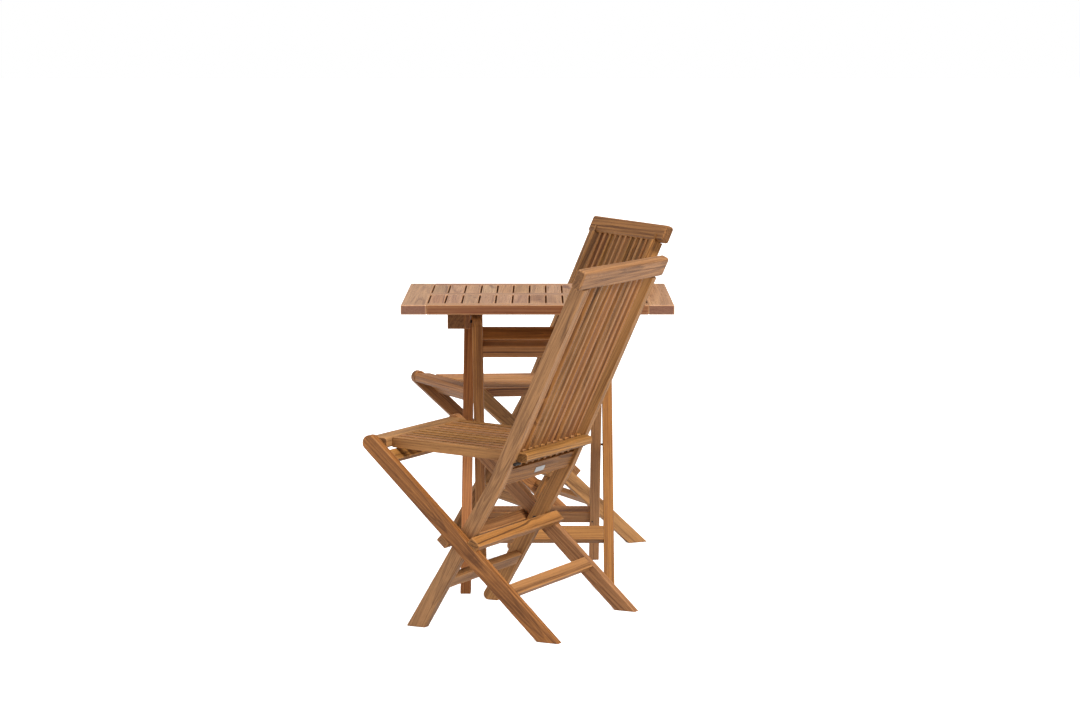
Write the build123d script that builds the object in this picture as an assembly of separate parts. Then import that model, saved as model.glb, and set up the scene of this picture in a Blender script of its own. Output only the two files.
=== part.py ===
from build123d import *
import os
from math import atan, cos, degrees, radians, sin, tan

# A folding teak patio set: one slatted table on crossed legs and two folding slatted chairs.
# Every sub-assembly is drawn in its own frame: X forward, Y to the left, Z up, floor at Z = 0.
# All sizes are in millimetres and all angles in degrees.

# ---- timber and joints shared by the whole set ----
EASE = 2.0                 # rounding of every board's edges
END_EASE = 1.5             # rounding round the ends of the round-nosed rails
TENON_DEPTH = 12           # how far a rail's tenon enters a leg
TENON_SHOULDER = 5         # how much smaller the tenon is than its rail, on each side
PIN_RADIUS = 3.0           # steel pivot pins
PIN_CLEARANCE = 0.06       # radial clearance in the part that turns on a pin
BOLT_SEAT = 0.02           # radial clearance in the board that holds a pin
BOLT_DEPTH = 16            # how far a bolt's shank enters the board that holds it
REST_GAP = 0.3             # gap left where a moving board rests on another
DRY_GAP = 0.1              # gap left at a dry joint between two boards that stay together
BOLT_HEAD = (6, 3.5)       # radius and height of a bolt's sunk head
HEAD_SINK = 0.5            # how far a bolt's head lies under the wood around it
HEAD_CLEARANCE = 0.3       # room round and behind a sunk head
WASHER_RADIUS = 9
PIN_GRIP = 12              # how far a plain pin enters the board that holds it
CUT_THROUGH = 1            # how far a cutter passes the face it starts from
FLOOR_CUT = 2000           # size of the block that levels the feet

# ---- chair ----
PIVOT_HEIGHT = 222         # pivot where the two frames cross
LEG_LEAN = 47.3            # forward lean of the straight legs
BACK_LEAN = 24.8           # rearward lean of the posts above the knee
FOOT_LEAN = 31.0           # lean of the posts below the knee
KNEE_HEIGHT = 366          # height of the knee in the posts
LEG_WIDTH = 38.5
POST_WIDTH = 35.2
POST_FOOT_WIDTH = 43       # the posts widen towards the floor
KNEE_ROUND = 80
SIDE_THICKNESS = 23.4      # thickness of legs and posts
SIDE_GAP = 1.7             # gap between a leg and the post beside it
CHAIR_WIDTH = 452.6        # over the outside of the legs
RAIL_THICKNESS = 20
LEG_RAIL_THICKNESS = 16     # the two tenoned rails between the legs
LEG_REACH = 335            # from the pivot up the leg to the seat hinge
TOP_RAIL = (701, 751)      # up the back, measured from the pivot
TOP_RAIL_THICKNESS = 25
TOP_RAIL_ROUND = 8
TOP_RAIL_END = 7            # rounding round the ends of the top rail
TOP_RAIL_OVERHANG = 8       # how far the top rail stands out past the legs
POST_TENON = (18, 20, 6)   # depth, height and side shoulder of the tenon on top of a post
LOWER_BACK_RAIL = (166, 210)
LOWER_BACK_RECESS = 7      # the lower back rail sits this far in from the posts' rear edges
POST_STRETCHER = (-132, -100)
LEG_STRETCHER = (-189, -157)
SEAT_REST = (260, 291.5)
STOP_RAIL = (16.2, 46.2)   # distance of both stop rails from the pivot, along the leg
STOP_THICKNESS = 18.5
BACK_SLATS = 10
BACK_SLAT_PITCH = 32.5
BACK_SLAT = (15, 10.5)     # depth and width
BACK_SLAT_REAR = -25       # rear edge of the slats, behind the pivot along the back's normal
SLAT_TENON = (3, 2, 10)    # shoulders in depth and in width, and length, of a back slat's tenons
SEAT_SLOPE = 2.4           # the seat falls towards the back
SEAT_LENGTH = 393.4        # from the seat hinge to the middle of the rear rail
SEAT_RAIL = (26, 20)       # side rails: height and width
SEAT_SLAT = (20, 18)       # height and width
FRONT_RAIL = (-36, 17)     # in front of and behind the seat hinge
FRONT_RAIL_HEIGHT = 26
REAR_RAIL = (31, 23)       # depth and height
SEAT_RAIL_ROUND = 9
SEAT_PIN_REACH = 24        # how far a seat hinge pin enters the front rail's side of a leg
FRONT_RAIL_GAP = 1         # between the front rail's end and the leg beside it
REAR_RAIL_GAP = 2.3        # between the rear rail's end and the post beside it
REST_PIN_RADIUS = 4
REST_PIN_SHOWS = 14        # how far a rest pin stands out of its post
REST_PIN_AHEAD = 12        # how far a rest pin lies in front of the middle of the rear rail
PLATE = (49, 14, 1)        # blank metal plate on the lower back rail
PLATE_ROUND = 0.9

# ---- table ----
TABLE_HEIGHT = 753
TABLE_WIDTH = 697
TABLE_DEPTH = 612
TOP_THICKNESS = 25
SIDE_BOARD = 66
END_RAIL = 50
CENTRE_RAIL = 55
SLATS_PER_ROW = 13
SLAT_GAP = 4.0
SLAT_THICKNESS = 20
TABLE_LEG = (45.4, 26.7)   # width and thickness of a table leg
TABLE_LEG_GAP = 4.8        # between an outer leg and the inner leg beside it
LEG_FRAME_WIDTH = 398.5    # over the outer legs
FOOT_SPREAD = 239.6        # from the table's middle to the middle of a foot
CROSSING = 351             # height of the bolt where the legs cross
HINGE_DROP = 23.5          # hinge of the outer legs below the underside of the top
HINGE_GRIP = 24            # how far a top hinge bolt reaches into the batten and into the leg
BATTEN = (540, 30, 40)     # length, width and height
LOCK_END = (110, 15)       # the battens' near ends are wider: length and extra width
LOCK_PLATE = 13            # thickness of the slotted plate that the lock pins drop into
LOCK_PLAY = 2              # between the end of a lock pin and the batten
TABLE_SIDE_ROUND = 3
BATTEN_GAP = 0.9           # between a batten and the outer leg beside it
OUTER_TOP_RAIL = (315.5, 354)       # up the legs from their crossing
INNER_TOP_RAIL = (324.5, 362)
TABLE_LOW_RAIL = (-286, -246.5)
LOCK_PIN_RADIUS = 4
LOCK_SLOT_LEAN = 25.7      # the pins leave their slots at this angle from the vertical

# ---- where the three pieces stand ----
# name: distance right of the table, distance behind it, direction that the chair faces
CHAIRS = {"chair_1": (-88.3, -564.2, 152.94), "chair_2": (-28.9, 583.3, 205.35)}
# name: rounding of the toe of the left and right post
TOES = {"chair_1": (EASE, 14), "chair_2": (14, 14)}

parts = {}


def block(frame, x, y, z, ease=EASE):
    """A board between two values on each axis of a frame, with eased edges."""
    size = [high - low for low, high in (x, y, z)]
    middle = [(high + low) / 2 for low, high in (x, y, z)]
    board = Box(*size)
    if ease:
        board = fillet(board.edges(), ease)
    return frame * Pos(*middle) * board


def rod(frame, radius, x, y, z):
    """A round bar along a frame's Y axis."""
    low, high = y
    return frame * Pos(x, (low + high) / 2, z) * Rot(90, 0, 0) * Cylinder(radius, high - low)


def bullnose(frame, x, y, z, radius, end_radius=END_EASE):
    """A board along Y whose four long edges are rounded, and then its ends."""
    outline = RectangleRounded(x[1] - x[0], z[1] - z[0], radius)
    board = extrude(outline, (y[1] - y[0]) / 2, both=True)
    board = fillet(board.edges().filter_by(Axis.Z, reverse=True), end_radius)
    return frame * Pos(sum(x) / 2, sum(y) / 2, sum(z) / 2) * Rot(90, 0, 0) * board


def side_board(points, inner, thickness, side, rounds=None):
    """A leg or post: an outline in the X-Z plane, given thickness outwards from its inner face."""
    outline = make_face(Polyline(*points, close=True))
    for corner, radius in (rounds or {}).items():
        vertex = outline.vertices().sort_by_distance(points[corner])[0]
        outline = fillet(vertex, radius)
    board = extrude(outline, thickness)
    board = fillet(board.edges().filter_by(GeomType.LINE).filter_by(Axis.Z, reverse=True), EASE)
    middle = side * (inner + thickness / 2)
    return Pos(0, middle + thickness / 2, 0) * Rot(90, 0, 0) * board


def cross_rail(frame, x, half, z, ease=EASE):
    """A rail between two legs, with the tenon at each end that its legs are cut for."""
    rail = block(frame, x, (-half, half), z, ease)
    tenon_x = (x[0] + TENON_SHOULDER, x[1] - TENON_SHOULDER)
    tenon_z = (z[0] + TENON_SHOULDER, z[1] - TENON_SHOULDER)
    ends = [
        block(frame, tenon_x, (half, half + TENON_DEPTH), tenon_z, 0),
        block(frame, tenon_x, (-half - TENON_DEPTH, -half), tenon_z, 0),
    ]
    return rail + ends, ends


def tilted(lean, x=0, z=PIVOT_HEIGHT):
    """A frame whose Z axis leans forward by an angle, with its origin at a height."""
    return Pos(x, 0, z) * Rot(0, lean, 0)


def group(solids):
    """Several separate solids in one node."""
    return Compound(children=[solid for one in solids for solid in one.solids()])


def put(name, placement, shape):
    """Stands one sub-part in the set."""
    parts[name] = placement * shape


def straight_leg(frame, width, thickness, inner, side, height, reach):
    """A leg with a round top, cut level at the floor; reach is from the frame's origin to its top hinge."""
    run = -height / frame.z_axis.direction.Z - width
    outline = Pos(0, (reach + run) / 2) * Rectangle(width, reach - run)
    outline += Pos(0, reach) * Circle(width / 2)
    leg = extrude(outline, thickness)
    leg = Pos(0, side * (inner + thickness / 2) + thickness / 2, 0) * Rot(90, 0, 0) * leg
    leg = frame * leg - Pos(0, 0, -FLOOR_CUT / 2) * Box(FLOOR_CUT, FLOOR_CUT, FLOOR_CUT)
    return fillet(leg.edges().filter_by(Axis.Y, reverse=True), EASE)


def recessed_bolt(frame, x, z, side, turning, gap, fixed, washer=True):
    """A bolt whose head is sunk in the turning board and whose shank is fixed in the board beyond it.

    turning and fixed are the boards' faces, from the middle of the piece outwards, and gap is where a
    washer starts to fill the space. The other two shapes are what the turning and the fixed board are
    bored for.
    """
    head_radius, head_height = BOLT_HEAD
    head_end = turning + HEAD_SINK + head_height
    head_y = sorted((side * (turning + HEAD_SINK), side * head_end))
    shank_y = sorted((side * head_end, side * (fixed + BOLT_DEPTH)))
    bolt = rod(frame, head_radius, x, head_y, z) + rod(frame, PIN_RADIUS, x, shank_y, z)
    if washer:
        bolt += rod(frame, WASHER_RADIUS, x, sorted((side * (gap + REST_GAP), side * fixed)), z)
    seat_y = sorted((side * (fixed - CUT_THROUGH), side * (fixed + BOLT_DEPTH)))
    seat = rod(frame, PIN_RADIUS + BOLT_SEAT, x, seat_y, z)
    sink_y = sorted((side * (turning - CUT_THROUGH), side * (head_end + HEAD_CLEARANCE)))
    bore = rod(frame, head_radius + HEAD_CLEARANCE, x, sink_y, z)
    through_y = sorted((side * turning, side * (gap + CUT_THROUGH)))
    bore += rod(frame, PIN_RADIUS + PIN_CLEARANCE, x, through_y, z)
    return bolt, bore, seat


def post_outline():
    """The bent post: foot, knee and top, each as its front and rear point."""
    foot = PIVOT_HEIGHT * tan(radians(FOOT_LEAN))
    foot_half = POST_FOOT_WIDTH / 2 / cos(radians(FOOT_LEAN))
    knee = (PIVOT_HEIGHT - KNEE_HEIGHT) * tan(radians(FOOT_LEAN))
    bisector = radians((FOOT_LEAN + BACK_LEAN) / 2)
    knee_half = POST_WIDTH / 2 / cos(radians(FOOT_LEAN - BACK_LEAN) / 2)
    lean = radians(BACK_LEAN)
    top_up = TOP_RAIL[0] - KNEE_UP
    top = (knee - top_up * sin(lean), KNEE_HEIGHT + top_up * cos(lean))
    half = POST_WIDTH / 2
    return [
        (foot + foot_half, 0),
        (knee + knee_half * cos(bisector), KNEE_HEIGHT + knee_half * sin(bisector)),
        (top[0] + half * cos(lean), top[1] + half * sin(lean)),
        (top[0] - half * cos(lean), top[1] - half * sin(lean)),
        (knee - knee_half * cos(bisector), KNEE_HEIGHT - knee_half * sin(bisector)),
        (foot - foot_half, 0),
    ]


# The knee and the middle line of the upper post, in the frame that leans with the back.
KNEE_BACK = (PIVOT_HEIGHT - KNEE_HEIGHT) * tan(radians(FOOT_LEAN))
KNEE_UP = -KNEE_BACK * sin(radians(BACK_LEAN)) + (KNEE_HEIGHT - PIVOT_HEIGHT) * cos(radians(BACK_LEAN))
POST_MIDDLE = KNEE_BACK * cos(radians(BACK_LEAN)) + (KNEE_HEIGHT - PIVOT_HEIGHT) * sin(radians(BACK_LEAN))
POST_REAR = POST_MIDDLE - POST_WIDTH / 2

LEG_INNER = CHAIR_WIDTH / 2 - SIDE_THICKNESS
POST_OUTER = LEG_INNER - SIDE_GAP
POST_INNER = POST_OUTER - SIDE_THICKNESS
SEAT_HINGE = (LEG_REACH * sin(radians(LEG_LEAN)), PIVOT_HEIGHT + LEG_REACH * cos(radians(LEG_LEAN)))

BACK_FRAME = tilted(-BACK_LEAN)
FOOT_FRAME = tilted(-FOOT_LEAN)
LEG_FRAME = tilted(LEG_LEAN)
SEAT_FRAME = tilted(-SEAT_SLOPE, *SEAT_HINGE)


def chair_back(toes):
    """The back frame: bent posts, top rail, slats, lower rail, stretcher, plate and rest pins."""
    foot_rear = -POST_WIDTH / 2 - 1
    low_x = (POST_REAR + LOWER_BACK_RECESS, POST_REAR + LOWER_BACK_RECESS + RAIL_THICKNESS)
    top_x = (POST_REAR, POST_REAR + TOP_RAIL_THICKNESS)
    low_rail, low_tenons = cross_rail(BACK_FRAME, low_x, POST_INNER, LOWER_BACK_RAIL)
    stretcher, foot_tenons = cross_rail(
        FOOT_FRAME, (foot_rear, foot_rear + RAIL_THICKNESS), POST_INNER, POST_STRETCHER
    )
    top_half = CHAIR_WIDTH / 2 + TOP_RAIL_OVERHANG
    top_rail = bullnose(BACK_FRAME, top_x, (-top_half, top_half), TOP_RAIL, TOP_RAIL_ROUND, TOP_RAIL_END)

    slat_x = (BACK_SLAT_REAR, BACK_SLAT_REAR + BACK_SLAT[0])
    slat_foot, slat_head = LOWER_BACK_RAIL[1], TOP_RAIL[0]
    depth_shoulder, width_shoulder, tenon = SLAT_TENON
    slats, slat_ends = [], []
    for number in range(BACK_SLATS):
        middle = (number - (BACK_SLATS - 1) / 2) * BACK_SLAT_PITCH
        slat_y = (middle - BACK_SLAT[1] / 2, middle + BACK_SLAT[1] / 2)
        slats.append(block(BACK_FRAME, slat_x, slat_y, (slat_foot, slat_head)))
        end_x = (slat_x[0] + depth_shoulder, slat_x[1] - depth_shoulder)
        end_y = (slat_y[0] + width_shoulder, slat_y[1] - width_shoulder)
        for low, high in ((slat_foot - tenon, slat_foot), (slat_head, slat_head + tenon)):
            slat_ends.append(block(BACK_FRAME, end_x, end_y, (low, high), 0))
    slats = [slat + slat_ends[2 * i:2 * i + 2] for i, slat in enumerate(slats)]

    post_mortises, head_tenons, rest_pins = [], [], []
    rest_x = SEAT_HINGE[0] - SEAT_LENGTH * cos(radians(SEAT_SLOPE)) + REST_PIN_AHEAD
    rest_z = SEAT_HINGE[1] - (SEAT_LENGTH - REST_PIN_AHEAD) * sin(radians(SEAT_SLOPE))
    rest_z -= REAR_RAIL[1] / 2 + REST_PIN_RADIUS + REST_GAP
    posts = {}
    head_depth, head_height, shoulder = POST_TENON
    head_x = (POST_MIDDLE - head_depth / 2, POST_MIDDLE + head_depth / 2)
    for name, side, toe in (("left", 1, toes[0]), ("right", -1, toes[1])):
        rounds = {0: toe, 1: KNEE_ROUND, 4: KNEE_ROUND}
        post = side_board(post_outline(), POST_INNER, SIDE_THICKNESS, side, rounds)
        tenon_y = sorted((side * (POST_INNER + shoulder), side * (POST_OUTER - shoulder)))
        head = block(BACK_FRAME, head_x, tenon_y, (slat_head, slat_head + head_height), 0)
        bore = recessed_bolt(Pos(0, 0, 0), 0, PIVOT_HEIGHT, side, POST_INNER, POST_OUTER, LEG_INNER)[1]
        pin_y = sorted((side * (POST_INNER - REST_PIN_SHOWS), side * (POST_INNER + PIN_GRIP)))
        pin = rod(Pos(0, 0, 0), REST_PIN_RADIUS, rest_x, pin_y, rest_z)
        pin_hole = rod(Pos(0, 0, 0), REST_PIN_RADIUS + BOLT_SEAT, rest_x, pin_y, rest_z)
        posts[name] = (post - low_tenons - foot_tenons - pin_hole - bore) + head
        head_tenons.append(head)
        rest_pins.append(pin)

    plate_z = sum(LOWER_BACK_RAIL) / 2
    plate = block(
        BACK_FRAME,
        (low_x[0] - PLATE[2], low_x[0]),
        (-PLATE[0] / 2, PLATE[0] / 2),
        (plate_z - PLATE[1] / 2, plate_z + PLATE[1] / 2),
        0,
    )
    plate = fillet(plate.edges().group_by(Edge.length)[0], PLATE_ROUND)
    return {
        "post_left": posts["left"],
        "post_right": posts["right"],
        "top_rail": top_rail - head_tenons - slat_ends,
        "lower_back_rail": low_rail - slat_ends,
        "back_slats": group(slats),
        "post_stretcher": stretcher,
        "blank_plate": plate,
        "seat_rest_pins": group(rest_pins),
    }


def chair_legs():
    """The leg frame: straight legs with round tops, four cross rails and the pivot pins."""
    face = LEG_WIDTH / 2
    rails, tenons = {}, []
    for name, span in (("seat_rest_rail", SEAT_REST), ("leg_stretcher", LEG_STRETCHER)):
        rail_x = (-face, -face + LEG_RAIL_THICKNESS)
        rails[name], ends = cross_rail(LEG_FRAME, rail_x, LEG_INNER, span)
        tenons += ends
    half = CHAIR_WIDTH / 2
    front_x = (face, face + STOP_THICKNESS)
    rear_x = (-face - STOP_THICKNESS, -face)
    rails["front_stop_rail"] = block(LEG_FRAME, front_x, (-half, half), STOP_RAIL)
    rails["rear_stop_rail"] = block(LEG_FRAME, rear_x, (-half, half), (-STOP_RAIL[1], -STOP_RAIL[0]))

    pins = []
    for name, side in (("left", 1), ("right", -1)):
        leg = straight_leg(LEG_FRAME, LEG_WIDTH, SIDE_THICKNESS, LEG_INNER, side, PIVOT_HEIGHT, LEG_REACH)
        bolt, _, bolt_seat = recessed_bolt(
            Pos(0, 0, 0), 0, PIVOT_HEIGHT, side, POST_INNER, POST_OUTER, LEG_INNER
        )
        seat_pin_y = sorted((side * (LEG_INNER - SEAT_PIN_REACH), side * (LEG_INNER + PIN_GRIP)))
        seat_pin = rod(LEG_FRAME, PIN_RADIUS, 0, seat_pin_y, LEG_REACH)
        seat_pin_hole = rod(LEG_FRAME, PIN_RADIUS + BOLT_SEAT, 0, seat_pin_y, LEG_REACH)
        rails["leg_" + name] = leg - tenons - bolt_seat - seat_pin_hole
        pins += [bolt, seat_pin]
    rails["pivot_pins"] = group(pins)
    return rails


def chair_seat():
    """The seat: bullnosed front and rear rails, side rails and nine slats that pass the back."""
    front_half = LEG_INNER - FRONT_RAIL_GAP
    rear_half = POST_INNER - REAR_RAIL_GAP
    front_rise, rear_rise = FRONT_RAIL_HEIGHT / 2, REAR_RAIL[1] / 2
    front_z, rear_z = (-front_rise, front_rise), (-rear_rise, rear_rise)
    front = bullnose(SEAT_FRAME, FRONT_RAIL, (-front_half, front_half), front_z, SEAT_RAIL_ROUND)
    for side in (1, -1):
        hole_y = sorted((side * (LEG_INNER - SEAT_PIN_REACH - CUT_THROUGH), side * LEG_INNER))
        front -= rod(SEAT_FRAME, PIN_RADIUS + PIN_CLEARANCE, 0, hole_y, 0)
    rear_x = (-SEAT_LENGTH - REAR_RAIL[0] / 2, -SEAT_LENGTH + REAR_RAIL[0] / 2)
    rear = bullnose(SEAT_FRAME, rear_x, (-rear_half, rear_half), rear_z, SEAT_RAIL_ROUND)
    span = (rear_x[1], FRONT_RAIL[0])
    top = SEAT_RAIL[0] / 2
    sides = {}
    for name, side in (("left", 1), ("right", -1)):
        rail_y = sorted((side * (rear_half - SEAT_RAIL[1]), side * rear_half))
        sides[name] = block(SEAT_FRAME, span, rail_y, (-top, top))
    slats = []
    for number in range(BACK_SLATS - 1):
        middle = (number - (BACK_SLATS - 2) / 2) * BACK_SLAT_PITCH
        slat_y = (middle - SEAT_SLAT[1] / 2, middle + SEAT_SLAT[1] / 2)
        slats.append(block(SEAT_FRAME, span, slat_y, (top - SEAT_SLAT[0], top)))
    return {
        "seat_front_rail": front,
        "seat_rear_rail": rear,
        "seat_side_left": sides["left"],
        "seat_side_right": sides["right"],
        "seat_slats": group(slats),
    }


UNDERSIDE = TABLE_HEIGHT - TOP_THICKNESS
TABLE_SPLAY = FOOT_SPREAD / CROSSING     # run of a leg for each millimetre of rise
LEG_ANGLE = degrees(atan(TABLE_SPLAY))
HINGE_HEIGHT = UNDERSIDE - HINGE_DROP
HINGE_OUT = HINGE_HEIGHT * TABLE_SPLAY - FOOT_SPREAD
OUTER_INNER = LEG_FRAME_WIDTH / 2 - TABLE_LEG[1]
INNER_OUTER = OUTER_INNER - TABLE_LEG_GAP
INNER_INNER = INNER_OUTER - TABLE_LEG[1]
BATTEN_INNER = LEG_FRAME_WIDTH / 2 + BATTEN_GAP
LOCK_END_INNER = BATTEN_INNER - LOCK_END[1]


def table_top():
    """The slatted top and its two battens, whose near ends carry slotted plates for the lock pins."""
    far, wide = TABLE_DEPTH / 2, TABLE_WIDTH / 2
    level = (UNDERSIDE, TABLE_HEIGHT)
    home = Pos(0, 0, 0)
    inside = wide - SIDE_BOARD
    rail_y = (DRY_GAP - inside, inside - DRY_GAP)
    top = {
        "top_side_board_left": block(home, (-far, far), (inside, wide), level, TABLE_SIDE_ROUND),
        "top_side_board_right": block(home, (-far, far), (-wide, -inside), level, TABLE_SIDE_ROUND),
        "top_near_rail": block(home, (-far, END_RAIL - far), rail_y, level),
        "top_far_rail": block(home, (far - END_RAIL, far), rail_y, level),
        "top_centre_rail": block(home, (-CENTRE_RAIL / 2, CENTRE_RAIL / 2), rail_y, level),
    }
    slat_width = (2 * inside - (SLATS_PER_ROW + 1) * SLAT_GAP) / SLATS_PER_ROW
    slats = []
    for low, high in ((END_RAIL - far, -CENTRE_RAIL / 2), (CENTRE_RAIL / 2, far - END_RAIL)):
        for number in range(SLATS_PER_ROW):
            start = SLAT_GAP - inside + number * (slat_width + SLAT_GAP)
            slat_z = (TABLE_HEIGHT - SLAT_THICKNESS, TABLE_HEIGHT)
            slat_x = (low + DRY_GAP, high - DRY_GAP)
            slats.append(block(home, slat_x, (start, start + slat_width), slat_z))
    top["top_slats"] = group(slats)

    half, width, height = BATTEN[0] / 2, BATTEN[1], BATTEN[2]
    batten_z = (UNDERSIDE - height, UNDERSIDE)
    end_x = (-half, LOCK_END[0] - half)
    slot = Pos(-HINGE_OUT, 0, HINGE_HEIGHT) * Rot(0, -LOCK_SLOT_LEAN, 0)
    slot_half = LOCK_PIN_RADIUS + REST_GAP
    slot_depth = height / cos(radians(LOCK_SLOT_LEAN))
    for name, side in (("left", 1), ("right", -1)):
        batten_y = sorted((side * LOCK_END_INNER, side * (BATTEN_INNER + width)))
        batten = block(home, (-half, half), batten_y, batten_z)
        room_y = sorted((side * (LOCK_END_INNER - CUT_THROUGH), side * BATTEN_INNER))
        room_z = (batten_z[0] - CUT_THROUGH, UNDERSIDE + CUT_THROUGH)
        batten -= block(home, (end_x[1], half + CUT_THROUGH), room_y, room_z, 0)
        hinge_y = sorted((side * BATTEN_INNER, side * (BATTEN_INNER + HINGE_GRIP + CUT_THROUGH)))
        batten -= rod(home, PIN_RADIUS + PIN_CLEARANCE, HINGE_OUT, hinge_y, HINGE_HEIGHT)
        plate_y = sorted((side * (LOCK_END_INNER - LOCK_PLATE), side * (LOCK_END_INNER - DRY_GAP)))
        plate = block(home, end_x, plate_y, batten_z)
        cut_y = (plate_y[0] - CUT_THROUGH, plate_y[1] + CUT_THROUGH)
        plate -= rod(slot, slot_half, 0, cut_y, 0)
        plate -= block(slot, (-slot_half, slot_half), cut_y, (-slot_depth, 0), 0)
        top["batten_" + name] = group([batten, plate])
    return top


def table_frames():
    """The outer and inner leg frames, with the bolts they turn on and the pins that lock the top."""
    width, thickness = TABLE_LEG
    reach = (HINGE_HEIGHT - CROSSING) / cos(radians(LEG_ANGLE))
    home = Pos(0, 0, 0)
    near_edge = (-width / 2, thickness - width / 2)
    far_edge = (width / 2 - thickness, width / 2)
    # name: lean, inner face of the legs, edge and place of the top rail, and edge of the low rail
    frames = {
        "outer": (LEG_ANGLE, OUTER_INNER, far_edge, OUTER_TOP_RAIL, near_edge),
        "inner": (-LEG_ANGLE, INNER_INNER, near_edge, INNER_TOP_RAIL, far_edge),
    }
    table = {}
    tenons = {}
    for name, (lean, inner, top_x, top_z, low_x) in frames.items():
        frame = tilted(lean, 0, CROSSING)
        table[name + "_top_rail"], top_ends = cross_rail(frame, top_x, inner, top_z)
        table[name + "_low_rail"], low_ends = cross_rail(frame, low_x, inner, TABLE_LOW_RAIL)
        tenons[name] = top_ends + low_ends
    leg_bolts, hinge_bolts, lock_pins = [], [], []
    for name, side in (("left", 1), ("right", -1)):
        cross, cross_bore, cross_seat = recessed_bolt(
            home, 0, CROSSING, side, INNER_INNER, INNER_OUTER, OUTER_INNER, washer=False
        )
        hinge_y = sorted((side * (BATTEN_INNER - HINGE_GRIP), side * (BATTEN_INNER + HINGE_GRIP)))
        hinge = rod(home, PIN_RADIUS, HINGE_OUT, hinge_y, HINGE_HEIGHT)
        hinge_hole = rod(home, PIN_RADIUS + BOLT_SEAT, HINGE_OUT, hinge_y, HINGE_HEIGHT)
        lock_y = sorted((side * (INNER_OUTER - PIN_GRIP), side * (LOCK_END_INNER - LOCK_PLAY)))
        lock = rod(home, LOCK_PIN_RADIUS, -HINGE_OUT, lock_y, HINGE_HEIGHT)
        lock_hole = rod(home, LOCK_PIN_RADIUS + BOLT_SEAT, -HINGE_OUT, lock_y, HINGE_HEIGHT)
        for frame_name, cuts in (("outer", [cross_seat, hinge_hole]), ("inner", [cross_bore, lock_hole])):
            lean, inner = frames[frame_name][:2]
            frame = tilted(lean, 0, CROSSING)
            leg = straight_leg(frame, width, thickness, inner, side, CROSSING, reach)
            table[frame_name + "_leg_" + name] = leg - tenons[frame_name] - cuts
        leg_bolts.append(cross)
        hinge_bolts.append(hinge)
        lock_pins.append(lock)
    table["crossing_bolts"] = group(leg_bolts)
    table["top_hinge_bolts"] = group(hinge_bolts)
    table["lock_pins"] = group(lock_pins)
    return table


def build():
    """Every sub-part, standing in the set, with the middle of the set's footprint at the origin."""
    facing_in = Rot(0, 0, 90)
    for name, shape in (table_top() | table_frames()).items():
        put("table_" + name, facing_in, shape)
    for chair_name, (x, y, heading) in CHAIRS.items():
        chair = chair_back(TOES[chair_name]) | chair_legs() | chair_seat()
        for name, shape in chair.items():
            put(chair_name + "_" + name, Pos(x, y, 0) * Rot(0, 0, heading), shape)
    boxes = [shape.bounding_box() for shape in parts.values()]
    low_x, high_x = min(box.min.X for box in boxes), max(box.max.X for box in boxes)
    low_y, high_y = min(box.min.Y for box in boxes), max(box.max.Y for box in boxes)
    return Pos(-(low_x + high_x) / 2, -(low_y + high_y) / 2, -min(box.min.Z for box in boxes))


CENTRING = build()
os.makedirs("parts", exist_ok=True)
for part_name, shape in parts.items():
    export_step(CENTRING * shape, os.path.join("parts", part_name + ".step"))
print("table middle at", CENTRING.position, "sub-parts", len(parts))
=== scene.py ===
"""Looks for the folding teak patio set: a slatted table and two slatted chairs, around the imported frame.

Lengths are in metres, noise scales in waves per metre, and angles in degrees.
"""

import math
import random

import bpy
import numpy as np
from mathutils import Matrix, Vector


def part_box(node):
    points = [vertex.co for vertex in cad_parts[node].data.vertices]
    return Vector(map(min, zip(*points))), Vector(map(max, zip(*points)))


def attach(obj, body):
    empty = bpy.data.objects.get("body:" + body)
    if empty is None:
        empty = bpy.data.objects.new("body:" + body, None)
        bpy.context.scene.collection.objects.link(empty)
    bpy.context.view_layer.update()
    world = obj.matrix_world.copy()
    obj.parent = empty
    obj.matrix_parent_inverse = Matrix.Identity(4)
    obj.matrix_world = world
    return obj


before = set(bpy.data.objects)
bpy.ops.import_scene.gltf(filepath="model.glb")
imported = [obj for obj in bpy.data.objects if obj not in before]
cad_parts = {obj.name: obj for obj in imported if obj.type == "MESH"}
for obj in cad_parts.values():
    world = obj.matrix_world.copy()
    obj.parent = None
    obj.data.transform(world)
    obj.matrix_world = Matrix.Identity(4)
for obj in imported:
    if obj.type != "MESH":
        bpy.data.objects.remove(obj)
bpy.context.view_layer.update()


def add_object(name, data):
    """A new object in the scene."""
    thing = bpy.data.objects.new(name, data)
    bpy.context.scene.collection.objects.link(thing)
    return thing


# ---------------------------------------------------------------------------
# Boards: every wooden solid gets its own grain, measured from its own shape
# ---------------------------------------------------------------------------
WOOD_SLOTS = ("teak_table_top", "teak_table_legs", "teak_chair")
SEED = 41
WELD = 1e-5  # corners closer than this belong to the same board
ALONG_SHIFT = 40.0  # length of the imaginary log that the boards are cut from
PITH_SIDE = 0.035  # how far the heart of the log lies to the side of a board, at most
PITH_DEPTH = (0.03, 0.11)  # how far over or under a board's middle the heart lies, nearest and farthest
KNOT_SHARE = 0.16  # share of the boards that have a small knot
KNOT_SPREAD = (0.8, 0.7)  # share of the half length and the half width over which knots are spread
NO_KNOT = 9.0  # a knot this far away doesn't show
BOXY_REACH = 0.004  # a corner this near to the board's box counts as on it
BOXY_SHARE = 0.7  # with fewer corners than this on its box, a board is bent
BENT_MARGIN = 1.0  # added to a bent board's half size, so that the edges of its box don't look rubbed
SMALLEST_NORMAL = 1e-12  # keeps a face without area from dividing by zero


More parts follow.
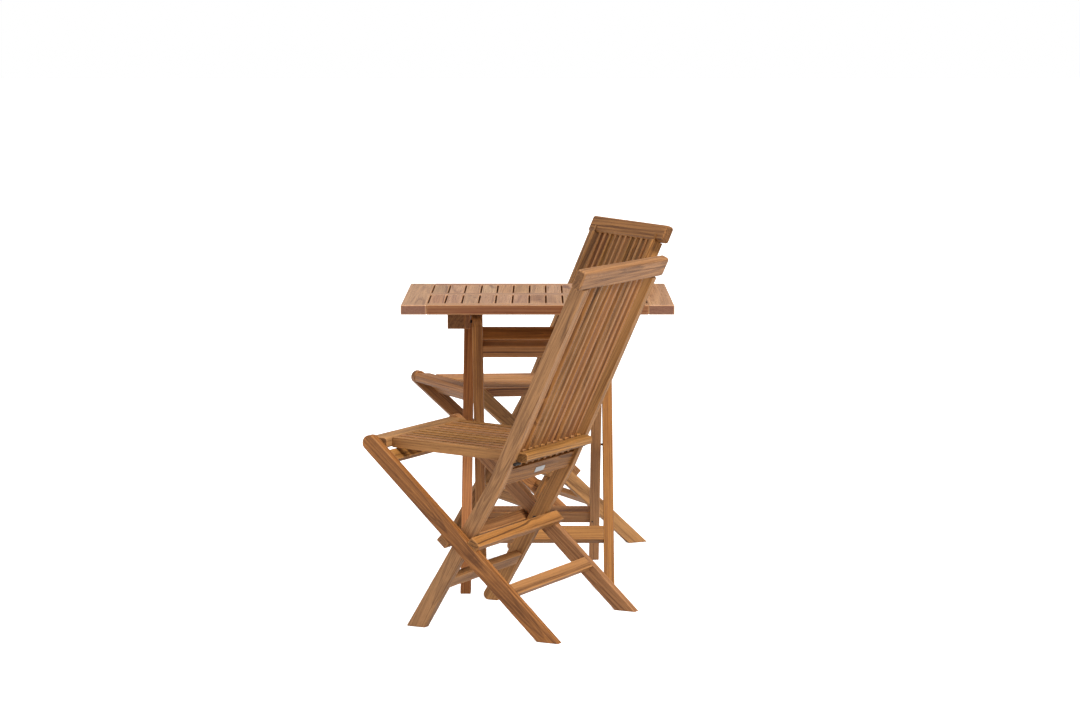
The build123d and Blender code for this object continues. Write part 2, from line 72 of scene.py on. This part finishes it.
def triangles(mesh):
    """Vertex positions, each triangle's three vertex numbers, and each vertex's number after welding."""
    mesh.calc_loop_triangles()
    points = np.empty(len(mesh.vertices) * 3, np.float32)
    mesh.vertices.foreach_get("co", points)
    points = points.reshape(-1, 3).astype(float)
    corners = np.empty(len(mesh.loop_triangles) * 3, np.int32)
    mesh.loop_triangles.foreach_get("vertices", corners)
    _, welded = np.unique(np.round(points / WELD).astype(np.int64), axis=0, return_inverse=True)
    return points, corners.reshape(-1, 3), welded.reshape(-1)


def board_numbers(faces, welded):
    """The number of the board that each vertex belongs to: the lowest number, spread over shared corners."""
    label = np.arange(welded.max() + 1)
    linked = welded[faces]
    while True:
        lowest = label[linked].min(axis=1)
        spread = label.copy()
        for corner in range(3):
            np.minimum.at(spread, linked[:, corner], lowest)
        spread = spread[spread]
        if np.array_equal(spread, label):
            return label[welded]
        label = spread


def face_normals(points, faces):
    """Each triangle's normal, twice as long as the triangle's area."""
    a, b, c = (points[faces[:, i]] for i in range(3))
    return np.cross(b - a, c - a)


def board_axes(points, faces):
    """Rows: the directions along, across and through a board, from how much face looks each way."""
    normals = face_normals(points, faces)
    areas = np.linalg.norm(normals, axis=1)
    keep = areas > 0
    unit = normals[keep] / areas[keep, None]
    spread = (unit * areas[keep, None]).T @ unit
    _, axes = np.linalg.eigh(spread)
    return axes.T


def write_vector(mesh, name, values):
    """Stores a vector for each vertex, for the shader to read."""
    layer = mesh.attributes.new(name, "FLOAT_VECTOR", "POINT")
    layer.data.foreach_set("vector", values.astype(np.float32).ravel())


def write_faces(mesh, name, per_triangle):
    """Stores a number for each face, from the numbers of its triangles."""
    layer = mesh.attributes.new(name, "FLOAT", "FACE")
    owner = np.empty(len(mesh.loop_triangles), np.int32)
    mesh.loop_triangles.foreach_get("polygon_index", owner)
    values = np.zeros(len(mesh.polygons), np.float32)
    values[owner] = per_triangle
    layer.data.foreach_set("value", values)


def grain(node, rng):
    """Gives each board of a node what its wood is drawn from.

    Each vertex gets its place in the board and in the log, the board's half size, the way from the knot and
    three random numbers. Each face gets how squarely it looks along the board (end) and across it (rim).
    """
    mesh = node.data
    points, faces, welded = triangles(mesh)
    labels = board_numbers(faces, welded)
    place = np.zeros_like(points)
    log = np.zeros_like(points)
    half = np.zeros_like(points)
    knot = np.full_like(points, NO_KNOT)
    chance = np.zeros_like(points)
    ends = np.zeros(len(faces), np.float32)
    rims = np.zeros(len(faces), np.float32)
    face_labels = labels[faces[:, 0]]
    for label in np.unique(labels):
        mine = labels == label
        my_faces = faces[face_labels == label]
        axes = board_axes(points, my_faces)
        local = points[mine] @ axes.T
        low, high = local.min(axis=0), local.max(axis=0)
        local -= (low + high) / 2
        size = (high - low) / 2
        on_box = (size - np.abs(local)).min(axis=1) < BOXY_REACH
        bent = on_box.mean() < BOXY_SHARE
        side = rng.uniform(-PITH_SIDE, PITH_SIDE)
        depth = rng.uniform(*PITH_DEPTH) * rng.choice((-1, 1))
        place[mine] = local
        log[mine] = local + np.array((rng.uniform(0, ALONG_SHIFT), side, depth))
        half[mine] = size + (BENT_MARGIN if bent else 0.0)
        chance[mine] = (rng.random(), rng.random(), rng.random())
        spot = np.array((*(rng.uniform(-reach, reach) for reach in KNOT_SPREAD), rng.choice((-1, 1)))) * size
        if rng.random() < KNOT_SHARE:
            knot[mine] = local - spot
        normals = face_normals(points, my_faces)
        lengths = np.maximum(np.linalg.norm(normals, axis=1), SMALLEST_NORMAL)
        ends[face_labels == label] = np.abs(normals @ axes[0]) / lengths
        rims[face_labels == label] = np.abs(normals @ axes[1]) / lengths
    vectors = {"place": place, "log": log, "half": half, "knot": knot, "chance": chance}
    for name, values in vectors.items():
        write_vector(mesh, name, values)
    write_faces(mesh, "end", ends)
    write_faces(mesh, "rim", rims)


# ---------------------------------------------------------------------------
# Shader building
# ---------------------------------------------------------------------------
class Tree:
    """Short names for adding nodes to a material or a world."""

    def __init__(self, owner):
        owner.use_nodes = True
        self.nodes = owner.node_tree.nodes
        self.links = owner.node_tree.links
        self.nodes.clear()

    def feed(self, socket, value):
        """Links a socket to another, or sets its value."""
        if isinstance(value, bpy.types.NodeSocket):
            self.links.new(value, socket)
        elif value is not None:
            socket.default_value = value

    def add(self, kind, out=0, inputs=(), **settings):
        """A new node's output, with the node's inputs fed and its settings made."""
        node = self.nodes.new(kind)
        for key, value in settings.items():
            setattr(node, key, value)
        for key, value in dict(inputs).items():
            self.feed(node.inputs[key], value)
        return node.outputs[out]

    def math(self, operation, a, b=None, c=None, clamp=False):
        node = self.nodes.new("ShaderNodeMath")
        node.operation = operation
        node.use_clamp = clamp
        for socket, value in zip(node.inputs, (a, b, c)):
            self.feed(socket, value)
        return node.outputs[0]

    def vector(self, operation, a, b=None):
        node = self.nodes.new("ShaderNodeVectorMath")
        node.operation = operation
        for socket, value in zip(node.inputs, (a, b)):
            self.feed(socket, value)
        return node.outputs["Value" if operation == "LENGTH" else "Vector"]

    def ramp(self, value, low, high, to_low=0.0, to_high=1.0):
        """Smooth step of value between low and high."""
        node = self.nodes.new("ShaderNodeMapRange")
        node.interpolation_type = "SMOOTHSTEP"
        for socket, given in zip(node.inputs, (value, low, high, to_low, to_high)):
            self.feed(socket, given)
        return node.outputs[0]

    def mix(self, factor, a, b):
        """A colour between two others; a mix node keeps its colour sockets behind those of other types."""
        node = self.nodes.new("ShaderNodeMix")
        node.data_type = "RGBA"
        self.feed(node.inputs["Factor"], factor)
        self.feed(node.inputs[6], a)
        self.feed(node.inputs[7], b)
        return node.outputs[2]

    def noise(self, place, scale, detail, roughness, stretch=None):
        """3-D noise from 0 to 1, its place first stretched by a vector."""
        if stretch is not None:
            place = self.vector("MULTIPLY", place, stretch)
        given = {"Vector": place, "Scale": scale, "Detail": detail, "Roughness": roughness}
        return self.add("ShaderNodeTexNoise", 0, given)

    def line_noise(self, value, scale, detail, roughness):
        """1-D noise from 0 to 1 along a value."""
        given = {"W": value, "Scale": scale, "Detail": detail, "Roughness": roughness}
        return self.add("ShaderNodeTexNoise", 0, given, noise_dimensions="1D")

    def attribute(self, name, out="Vector"):
        return self.add("ShaderNodeAttribute", out, attribute_name=name)

    def split(self, vector):
        """The three parts of a vector."""
        return self.add("ShaderNodeSeparateXYZ", 0, {"Vector": vector}).node.outputs

    def surface(self, shader, kind="ShaderNodeOutputMaterial"):
        """Ends the tree in a shader."""
        self.links.new(shader, self.nodes.new(kind).inputs["Surface"])


def scaled(colour, factor):
    """A colour made lighter or darker, no lighter than white."""
    return tuple(min(1.0, part * factor) for part in colour[:3]) + (1.0,)


# ---------------------------------------------------------------------------
# Teak
# ---------------------------------------------------------------------------
# 3-D noise in the log: detail, roughness, and scales along, across and through the board
WOOD_NOISE = {
    "slow wander": (1.0, 0.4, (1.6, 9.0, 9.0)),
    "quick wander": (2.0, 0.5, (7.0, 60.0, 60.0)),
    "fibre": (3.0, 0.65, (7.0, 430.0, 430.0)),
    "stripe": (2.0, 0.65, (2.2, 210.0, 210.0)),
    "pores": (1.0, 0.5, (75.0, 1500.0, 1500.0)),
    "blotch": (2.0, 0.5, (5.0, 22.0, 22.0)),
    "mineral patches": (1.0, 0.5, (2.2, 14.0, 14.0)),
    "wear_and_highlight": (2.0, 0.6, (30.0, 90.0, 90.0)),
}
# 1-D noise over the distance from the heart of the log: scale, detail, roughness
RING_NOISE = {"broad": (85.0, 1.0, 0.5), "fine": (330.0, 3.0, 0.75), "mineral": (210.0, 1.0, 0.5)}

# Smooth steps: where each starts and ends, then its first and last value where these aren't 0 and 1
KNOT_PUSH = (0.0, 0.028, 0.007, 0.0)  # how far the rings are pushed, by the distance from the knot
KNOT_HEART = (0.0030, 0.0085, 0.85, 0.0)  # how dark the wood is, by the distance from the knot
PORE_STEP = (0.60, 0.70)
MINERAL_STEP = (0.66, 0.76)
PATCH_STEP = (0.48, 0.62)
FACING_STEP = (0.75, 0.97)  # by how squarely a face looks along the board, or across it
RUBBED_AND_HIGHLIGHT_STEP = (-0.0010, 0.0026, 0.42, 0.0)  # how pale the wood is, by the distance from the edge: partly rubbed, partly a painted highlight along the edges

KNOT_SQUEEZE = (0.55, 1.0, 1.0)  # leaves a knot longer along the grain
LEAN = 0.05  # how much the boards' slopes to the log differ, in metres to a metre
SLOW_WANDER = 0.011  # how far the rings wander
QUICK_WANDER = 0.0022
YEARS = 190.0  # growth rings to a metre
YEAR_WANDER = 2.0  # how many rings their places vary by
LATE_POWER = 4.0  # leaves a thin dark line at the end of each year

# What each part adds to the tone, from light to dark
TONE_WEIGHTS = {"fine": 1.35, "late": 0.22, "stripe": 1.5, "fibre": 1.0, "blotch": 0.25}
TONE_BROAD = 0.55
TONE_MIDDLE = 2.445  # the usual sum of all the tones in a board
TONE_HALFWAY = 0.5  # where that sum lands between the light and the dark colour
TONE_CONTRAST = 1.3

MINERAL_DEPTH = 0.7
PORE_DEPTH = 0.30
HUE = (0.012, 0.494)  # spread between boards, and the least; 0.5 leaves the hue as it is
RICHNESS = (0.12, 0.94)  # spread between boards, and the least
WEAR_AND_HIGHLIGHT_REACH = 0.003  # how much farther in the pale edge reaches where it is rubbed most; the pale edge is partly rubbing, partly painted highlight
# how much paler than the light colour the edges are, rubbed and with a painted highlight
RUBBED_AND_HIGHLIGHT_PALER = 1.25

GLOSS_FIBRE = 0.22  # roughness added by fibres, pores and end grain
GLOSS_PORES = 0.12
GLOSS_END = 0.15
HEIGHT_PORES = -0.9  # height of the pores and of the late wood, beside the fibres'
HEIGHT_LATE = 0.35
WOOD_BUMP = {"Strength": 0.35, "Distance": 0.0004}


def wood_noise(tree, log, name):
    """One of the 3-D noises in the log."""
    return tree.noise(log, 1.0, *WOOD_NOISE[name])


def ring_distance(tree, log, place, slope_chance, knot_away):
    """Distance from the heart of the log, bent by slow and quick wander, and pushed aside by the knot."""
    push = tree.ramp(knot_away, *KNOT_PUSH)
    axes = tree.split(log)
    across = tree.math("MULTIPLY", axes[1], axes[1])
    through = tree.math("MULTIPLY_ADD", axes[2], axes[2], across)
    ring = tree.math("SQRT", through)
    slow = wood_noise(tree, log, "slow wander")
    quick = wood_noise(tree, log, "quick wander")
    lean = tree.math("MULTIPLY_ADD", slope_chance, LEAN, -LEAN / 2)
    drift = tree.math("MULTIPLY", tree.split(place)[0], lean)
    ring = tree.math("ADD", ring, drift)
    ring = tree.math("MULTIPLY_ADD", slow, SLOW_WANDER, ring)
    ring = tree.math("MULTIPLY_ADD", quick, QUICK_WANDER, ring)
    return tree.math("ADD", ring, push)


def edge_distance(tree, place):
    """Distance from the nearest edge of a board: that from the second nearest side of its box."""
    left = tree.vector("SUBTRACT", tree.attribute("half"), tree.vector("ABSOLUTE", place))
    left = tree.split(left)
    nearer = tree.math("MINIMUM", left[0], left[1])
    farther = tree.math("MAXIMUM", left[0], left[1])
    return tree.math("MAXIMUM", nearer, tree.math("MINIMUM", farther, left[2]))


def teak(material, light, dark, streak, variety, roughness, gloss_level, end_depth, rim_shade):
    """Oiled teak: rings cut by each board's faces, fibres, pores, dark streaks, knots, and pale edges, partly
    rubbed and partly painted highlight.

    variety is the spread of tone between boards; end_depth is the darkness of the ends, and the rim depth the
    darkness of the narrow sides, which is painted shade.
    """
    tree = Tree(material)
    log = tree.attribute("log")
    place = tree.attribute("place")
    chance = tree.split(tree.attribute("chance"))
    knot = tree.vector("MULTIPLY", tree.attribute("knot"), KNOT_SQUEEZE)
    knot_away = tree.vector("LENGTH", knot)
    ring = ring_distance(tree, log, place, chance[0], knot_away)

    # Growth rings: broad bands of tone, and a darker line where each year ends.
    broad = tree.line_noise(ring, *RING_NOISE["broad"])
    fine = tree.line_noise(ring, *RING_NOISE["fine"])
    years = tree.math("MULTIPLY_ADD", broad, YEAR_WANDER, tree.math("MULTIPLY", ring, YEARS))
    late = tree.math("POWER", tree.math("FRACT", years), LATE_POWER)

    # Fibres and pores run along the board.
    fibre = wood_noise(tree, log, "fibre")
    stripe = wood_noise(tree, log, "stripe")
    pores = tree.ramp(wood_noise(tree, log, "pores"), *PORE_STEP)
    blotch = wood_noise(tree, log, "blotch")

    tones = {"fine": fine, "late": late, "stripe": stripe, "fibre": fibre, "blotch": blotch}
    tone = tree.math("MULTIPLY", broad, TONE_BROAD)
    for name, weight in TONE_WEIGHTS.items():
        tone = tree.math("MULTIPLY_ADD", tones[name], weight, tone)
    tone = tree.math("MULTIPLY_ADD", chance[1], variety, tone)
    tone = tree.math("SUBTRACT", tone, TONE_MIDDLE + variety / 2)
    tone = tree.math("MULTIPLY_ADD", tone, TONE_CONTRAST, TONE_HALFWAY, clamp=True)
    colour = tree.mix(tone, light, dark)

    # Mineral streaks: a few thin lines much darker than the rest, in patches.
    mineral = tree.ramp(tree.line_noise(ring, *RING_NOISE["mineral"]), *MINERAL_STEP)
    patches = tree.ramp(wood_noise(tree, log, "mineral patches"), *PATCH_STEP)
    mineral = tree.math("MULTIPLY", mineral, patches)
    colour = tree.mix(tree.math("MULTIPLY", mineral, MINERAL_DEPTH), colour, streak)

    # Each board comes from another tree: redder or yellower, and more or less rich.
    hue = tree.math("MULTIPLY_ADD", chance[2], *HUE)
    richness = tree.math("MULTIPLY_ADD", chance[0], *RICHNESS)
    shift = {"Hue": hue, "Saturation": richness, "Value": 1.0, "Color": colour}
    colour = tree.add("ShaderNodeHueSaturation", 0, shift)

    # Pores are tiny dark dashes, and knots dark spots that fade into the wood.
    colour = tree.mix(tree.math("MULTIPLY", pores, PORE_DEPTH), colour, streak)
    heart = tree.ramp(knot_away, *KNOT_HEART)
    colour = tree.mix(heart, colour, streak)

    # End grain drinks more oil and is darker. The narrow sides of the table top's boards are darkened too, as
    # painted shade that keeps them darker than the pale top faces.
    end = tree.ramp(tree.attribute("end", "Fac"), *FACING_STEP)
    colour = tree.mix(tree.math("MULTIPLY", end, end_depth), colour, streak)
    rim = tree.ramp(tree.attribute("rim", "Fac"), *FACING_STEP)
    colour = tree.mix(tree.math("MULTIPLY", rim, rim_shade), colour, streak)

    # Edges are made pale, unevenly: partly rubbed, partly a painted highlight along the eased edges. Not
    # those of the narrow sides, which carry painted shade.
    edge = edge_distance(tree, place)
    wear_and_highlight_noise = wood_noise(tree, log, "wear_and_highlight")
    edge = tree.ramp(tree.math("MULTIPLY_ADD", wear_and_highlight_noise, -WEAR_AND_HIGHLIGHT_REACH, edge), *RUBBED_AND_HIGHLIGHT_STEP)
    edge = tree.math("MULTIPLY", edge, tree.math("SUBTRACT", 1.0, tree.math("MULTIPLY", rim, rim_shade)))
    colour = tree.mix(edge, colour, scaled(light, RUBBED_AND_HIGHLIGHT_PALER))

    gloss = tree.math("MULTIPLY_ADD", fibre, GLOSS_FIBRE, roughness - GLOSS_FIBRE / 2)
    gloss = tree.math("MULTIPLY_ADD", pores, GLOSS_PORES, gloss)
    gloss = tree.math("MULTIPLY_ADD", end, GLOSS_END, gloss)
    height = tree.math("MULTIPLY_ADD", pores, HEIGHT_PORES, fibre)
    height = tree.math("MULTIPLY_ADD", late, HEIGHT_LATE, height)
    bump = tree.add("ShaderNodeBump", 0, {**WOOD_BUMP, "Height": height})
    # The narrow sides, darkened as painted shade, also shine less.
    shine = tree.math("MULTIPLY_ADD", rim, -rim_shade * gloss_level, gloss_level)
    finish = {"Base Color": colour, "Roughness": gloss, "Specular IOR Level": shine, "Normal": bump}
    tree.surface(tree.add("ShaderNodeBsdfPrincipled", 0, finish))


# ---------------------------------------------------------------------------
# Metal
# ---------------------------------------------------------------------------
LINE_NOISE = (3.0, 0.6)  # detail and roughness
SMUDGE_NOISE = (60.0, 2.0, 0.5)  # scale, detail and roughness
GLOSS_LINES = 0.18  # roughness added by the brushed lines and by the smudges
GLOSS_SMUDGE = 0.10
GLOSS_START = 0.12  # taken off the roughness before these are added
SMUDGE_DARKER = 0.86
METAL_BUMP = {"Strength": 0.2, "Distance": 0.0001}


def metal(material, colour, roughness, brushed):
    """Brushed or turned stainless steel: fine lines in roughness and height, with scales along X, Y and Z."""
    tree = Tree(material)
    place = tree.add("ShaderNodeTexCoord", "Object")
    lines = tree.noise(place, 1.0, *LINE_NOISE, brushed)
    smudge = tree.noise(place, *SMUDGE_NOISE)
    gloss = tree.math("MULTIPLY_ADD", lines, GLOSS_LINES, roughness - GLOSS_START)
    gloss = tree.math("MULTIPLY_ADD", smudge, GLOSS_SMUDGE, gloss)
    tint = tree.mix(smudge, colour, scaled(colour, SMUDGE_DARKER))
    bump = tree.add("ShaderNodeBump", 0, {**METAL_BUMP, "Height": lines})
    finish = {"Base Color": tint, "Roughness": gloss, "Metallic": 1.0, "Normal": bump}
    tree.surface(tree.add("ShaderNodeBsdfPrincipled", 0, finish))


# ---------------------------------------------------------------------------
# Finishes
# ---------------------------------------------------------------------------
def linear(red, green, blue):
    """Screen colour from 0 to 255 as a linear colour, by the sRGB curve."""
    parts = []
    for part in (red, green, blue):
        value = part / 255
        parts.append(value / 12.92 if value <= 0.04045 else ((value + 0.055) / 1.055) ** 2.4)
    return (*parts, 1.0)


MATERIALS = {slot: bpy.data.materials.new(slot + "_look") for slot in (*WOOD_SLOTS, "steel", "plate")}
TEAKS = {
    "teak_table_top": {
        # Paler than the legs' and chairs' teak as painted sheen: the pale grazing reflection of the top
        # faces, put into the colour.
        "light": linear(198, 147, 101),
        "dark": linear(140, 91, 55),
        "streak": linear(98, 38, 6),
        "variety": 0.22,
        "roughness": 0.30,
        "gloss_level": 1.0,
        "end_depth": 0.75,
        # painted shade: how much darker the narrow sides of the top's boards are
        "rim_shade": 0.60,
    },
    "teak_table_legs": {
        "light": linear(174, 117, 66),
        "dark": linear(120, 74, 37),
        "streak": linear(66, 34, 15),
        "variety": 0.22,
        "roughness": 0.50,
        "gloss_level": 0.30,
        "end_depth": 0.45,
        "rim_shade": 0.0,
    },
    "teak_chair": {
        "light": linear(172, 119, 68),
        "dark": linear(107, 68, 34),
        "streak": linear(60, 33, 14),
        "variety": 0.24,
        "roughness": 0.50,
        "gloss_level": 0.30,
        "end_depth": 0.40,
        "rim_shade": 0.0,
    },
}
METALS = {
    # The steel is near black, much darker than bare steel: painted shade, for the pins and bolts that sit in
    # shade.
    "steel": {"colour": (0.07, 0.065, 0.06, 1.0), "roughness": 0.50, "brushed": (900.0, 900.0, 900.0)},
    "plate": {"colour": (0.50, 0.50, 0.50, 1.0), "roughness": 0.34, "brushed": (60.0, 60.0, 2600.0)},
}
for slot, look in TEAKS.items():
    teak(MATERIALS[slot], **look)
for slot, look in METALS.items():
    metal(MATERIALS[slot], **look)


def dress():
    """Grain for every wooden node, and each node's own finish in its material slots."""
    rng = random.Random(SEED)
    for name in sorted(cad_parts):
        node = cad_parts[name]
        slot = node.data.materials[0].name.split(".")[0]
        if slot in WOOD_SLOTS:
            grain(node, rng)
        node.material_slots[0].material = MATERIALS[slot]


dress()

# ---------------------------------------------------------------------------
# Tenon pins: one through each end of the inner frame's low rail, seen on the legs' near edges
# ---------------------------------------------------------------------------
PIN_SIDES = 24
PIN_RADIUS = 0.0021
PIN_FROM_EDGE = 0.0065  # from the leg's inner face to the middle of the pin
PIN_ABOVE_RAIL = 0.005  # above the middle of the rail
# radius as a share of the pin's, and height over the wood, from the sunk rim to the middle
PIN_RINGS = ((1.0, -0.0015), (1.0, 0.0001), (0.82, 0.0004), (0.45, 0.0005))


def node_points(name):
    """A node's vertex positions in the frame, and its triangles."""
    points, faces, _ = triangles(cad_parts[name].data)
    world = np.array(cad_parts[name].matrix_world)
    return points @ world[:3, :3].T + world[:3, 3], faces


def turned_disc(name, middle, outward, along):
    """A low domed disc whose rings are swept round an outward direction."""
    across = np.cross(outward, along)
    verts = []
    for share, rise in PIN_RINGS:
        for step in range(PIN_SIDES):
            angle = math.tau * step / PIN_SIDES
            spoke = math.cos(angle) * along + math.sin(angle) * across
            verts.append(middle + spoke * share * PIN_RADIUS + outward * rise)
    verts.append(middle + outward * PIN_RINGS[-1][1])
    faces = []
    for ring in range(len(PIN_RINGS) - 1):
        for step in range(PIN_SIDES):
            after = (step + 1) % PIN_SIDES
            low, high = ring * PIN_SIDES, (ring + 1) * PIN_SIDES
            faces.append((low + step, low + after, high + after, high + step))
    last, tip = (len(PIN_RINGS) - 1) * PIN_SIDES, len(verts) - 1
    faces += [(last + step, last + (step + 1) % PIN_SIDES, tip) for step in range(PIN_SIDES)]
    mesh = bpy.data.meshes.new(name)
    mesh.from_pydata([tuple(vert) for vert in verts], [], faces)
    mesh.materials.append(MATERIALS["steel"])
    disc = add_object(name, mesh)
    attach(disc, "table_inner_frame")


def tenon_pins():
    """A pin in the near edge of each inner leg, where the low rail's tenon ends."""
    rail, _ = node_points("table_inner_low_rail")
    target = (rail.min(axis=0) + rail.max(axis=0)) / 2 + np.array((0, 0, PIN_ABOVE_RAIL))
    for side in ("left", "right"):
        points, faces = node_points("table_inner_leg_" + side)
        along, across, through = board_axes(points, faces)
        near = across if across[1] < 0 else -across
        inward = through if through[0] * (target[0] - points[:, 0].mean()) > 0 else -through
        middle = target - near * (target @ near) - inward * (target @ inward)
        middle += near * (points @ near).max()
        middle += inward * ((points @ inward).max() - PIN_FROM_EDGE)
        turned_disc("tenon_pin_" + side, middle, near, along)


tenon_pins()

# ---------------------------------------------------------------------------
# Studio
# ---------------------------------------------------------------------------
CAMERA_FROM_TABLE = (0.0063, -7.8288)  # along X and Y, from the middle of the table top's centre rail
CAMERA_HEIGHT = 1.4896
CAMERA_DIP = 6.65  # below level
CAMERA_LENS = 99.16  # millimetres
CAMERA_SENSOR = 36.0  # millimetres wide
CAMERA_SIGHT = 200.0
WHITE = (1.0, 1.0, 1.0, 1.0)
FLOOR_REACH = 60.0
FLOOR_PAINT = {"Base Color": (0.72, 0.72, 0.72, 1.0), "Roughness": 0.9}
FLOOR_GLOW = 0.8
SURROUND = 0.26  # light from the white surround, beside the white that the camera sees
# name, azimuth from +X, height above the floor, spread, strength
LAMPS = (("key", -36, 42, 16, 3.55), ("fill", -165, 24, 60, 1.35), ("overhead", 90, 70, 40, 0.9))


def seen_by_camera(tree):
    """1 for what the camera sees directly, and 0 for reflected and scattered light."""
    return tree.add("ShaderNodeLightPath", "Is Camera Ray")


def studio_floor():
    """A white floor that also glows for the camera, so that it stays white under the set."""
    mesh = bpy.data.meshes.new("floor")
    corners = [(x * FLOOR_REACH, y * FLOOR_REACH, 0) for x, y in ((-1, -1), (1, -1), (1, 1), (-1, 1))]
    mesh.from_pydata(corners, [], [(0, 1, 2, 3)])
    floor = add_object("floor", mesh)
    material = bpy.data.materials.new("studio_white")
    tree = Tree(material)
    paint = tree.add("ShaderNodeBsdfPrincipled", 0, FLOOR_PAINT)
    strength = tree.math("MULTIPLY", seen_by_camera(tree), FLOOR_GLOW)
    glow = tree.add("ShaderNodeEmission", 0, {"Strength": strength})
    tree.surface(tree.add("ShaderNodeAddShader", 0, {0: paint, 1: glow}))
    mesh.materials.append(material)


def soft_sun(name, azimuth, height, spread, strength):
    """A very soft lamp, far away, at an azimuth from +X and a height above the floor."""
    data = bpy.data.lights.new(name, "SUN")
    data.angle = math.radians(spread)
    data.energy = strength
    lamp = add_object(name, data)
    lamp.rotation_euler = (math.radians(90 - height), 0, math.radians(azimuth + 90))


def studio():
    """The floor, the white surround and the lamps."""
    studio_floor()
    world = bpy.data.worlds.new("studio")
    tree = Tree(world)
    strength = tree.math("MULTIPLY_ADD", seen_by_camera(tree), 1.0 - SURROUND, SURROUND)
    back = tree.add("ShaderNodeBackground", 0, {"Color": WHITE, "Strength": strength})
    tree.surface(back, "ShaderNodeOutputWorld")
    scene = bpy.context.scene
    scene.world = world
    scene.view_settings.view_transform = "Standard"
    for lamp in LAMPS:
        soft_sun(*lamp)


def camera():
    """The photograph's viewpoint, placed from the table."""
    data = bpy.data.cameras.new("camera")
    data.lens = CAMERA_LENS
    data.sensor_width = CAMERA_SENSOR
    data.clip_end = CAMERA_SIGHT
    eye = add_object("camera", data)
    low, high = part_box("table_top_centre_rail")
    x, y = ((low[i] + high[i]) / 2 + CAMERA_FROM_TABLE[i] for i in (0, 1))
    eye.location = (x, y, CAMERA_HEIGHT)
    eye.rotation_euler = (math.radians(90 - CAMERA_DIP), 0, 0)
    bpy.context.scene.camera = eye


studio()
camera()
